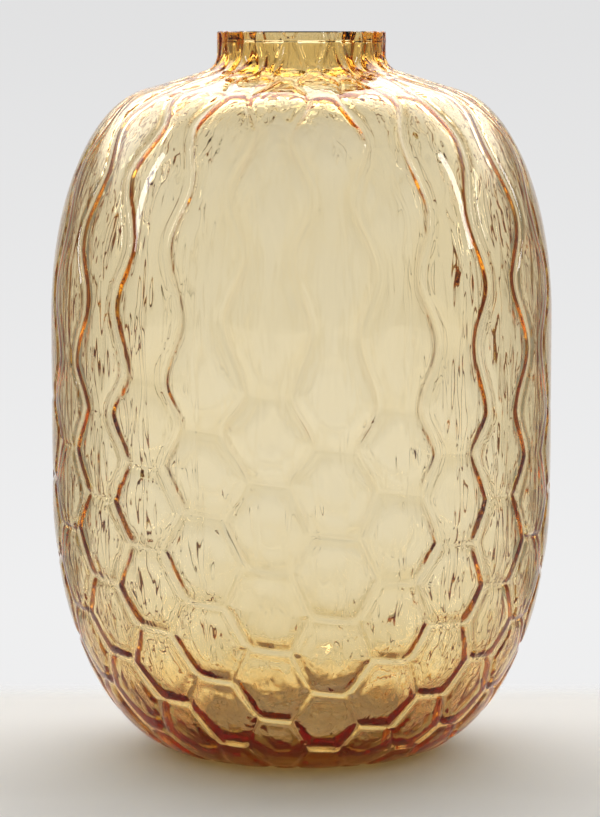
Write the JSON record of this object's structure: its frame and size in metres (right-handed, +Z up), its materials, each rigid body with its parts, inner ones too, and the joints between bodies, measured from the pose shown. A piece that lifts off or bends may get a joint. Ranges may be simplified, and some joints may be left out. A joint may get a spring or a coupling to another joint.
{
  "type": "blown glass vase",
  "caption": "Barrel-shaped hand blown vase of clear pale amber glass with a honeycomb relief, rounded shoulder, short open neck and flat foot.",
  "frame": {"origin": "centre of the flat foot, on the surface the vase stands on", "axes": "+Z up along the vase's axis and out of the mouth; -Y towards the viewer, +X to the viewer's right"},
  "size_m": [0.2436, 0.2436, 0.35],
  "materials": {
    "casing_glass": "fire-polished clear pale amber, shallow honeycomb grooves outside",
    "lining_glass": "fire-polished clear pale amber, low rounded honeycomb ridges in the bore, ground rim"
  },
  "bodies": {
    "root": {"outer_gather": "casing_glass", "inner_gather": "lining_glass"}
  },
  "joints": []
}
